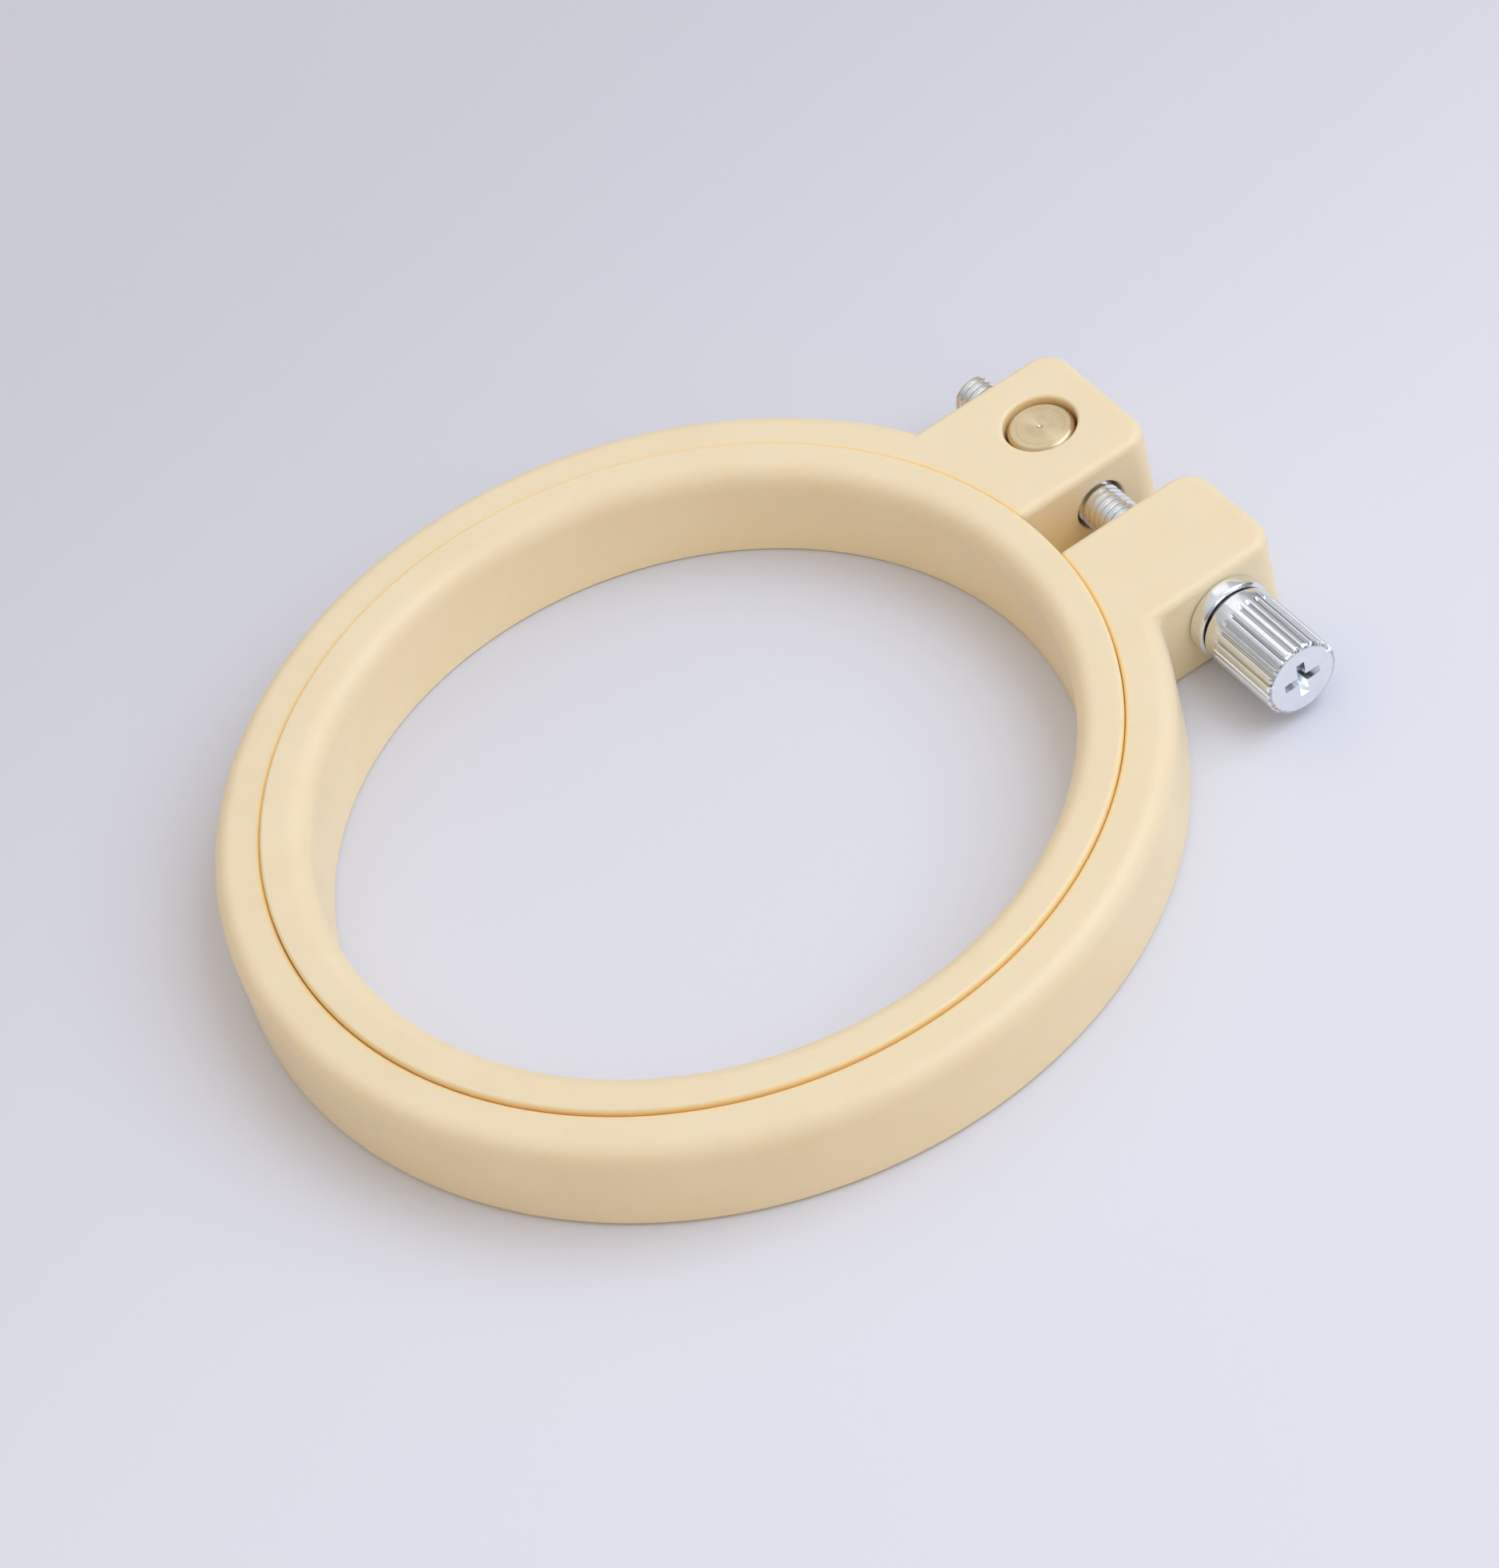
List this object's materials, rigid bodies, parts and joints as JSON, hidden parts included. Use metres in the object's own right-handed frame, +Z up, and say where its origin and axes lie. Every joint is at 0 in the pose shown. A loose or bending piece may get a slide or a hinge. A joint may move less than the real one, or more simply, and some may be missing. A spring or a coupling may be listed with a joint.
{
  "type": "embroidery hoop",
  "caption": "Round screw-tightened embroidery hoop: a plain inner ring inside a split outer ring, closed across its lugs by a fluted thumb screw in a barrel nut.",
  "frame": {"origin": "on the rings' axis, in the plane that the hoop lies on", "axes": "+Z up along the rings' axis, +Y towards the clamp lugs, +X along the thumb screw towards its head"},
  "size_m": [0.1, 0.1121, 0.0115],
  "materials": {
    "ring_plastic": "satin cream moulded plastic",
    "plated_steel": "bright nickel plating",
    "nut_brass": "turned brass"
  },
  "bodies": {
    "head_side": {"outer_ring_head_side": "ring_plastic"},
    "nut_side": {"outer_ring_nut_side": "ring_plastic"},
    "inner": {"inner_ring": "ring_plastic"},
    "screw": {"thumb_screw": "plated_steel", "head_washer": "plated_steel"},
    "nut": {"barrel_nut": "nut_brass"}
  },
  "joints": [
    {"name": "screw_turn", "type": "hinge", "parent": "head_side", "child": "screw", "pos_m": [0, 0.0543, 0.0055], "axis": [1, 0, 0], "range_deg": [0, 1440]},
    {"name": "ring_flex", "type": "hinge", "parent": "head_side", "child": "nut_side", "pos_m": [-0.013, -0.04828, 0], "axis": [0, 0, 1], "range_deg": [0, 1.79]},
    {"name": "nut_swivel", "type": "hinge", "parent": "nut_side", "child": "nut", "pos_m": [-0.013, 0.0543, 0], "axis": [0, 0, 1], "range_deg": [-1.79, 0]},
    {"name": "inner_lift", "type": "slide", "parent": "head_side", "child": "inner", "axis": [0, 0, 1], "range_m": [0, 0.02]}
  ],
  "couplings": [
    {"joint": "ring_flex", "follows": "screw_turn", "ratio": 0.0012412},
    {"joint": "nut_swivel", "follows": "screw_turn", "ratio": -0.0012412}
  ]
}
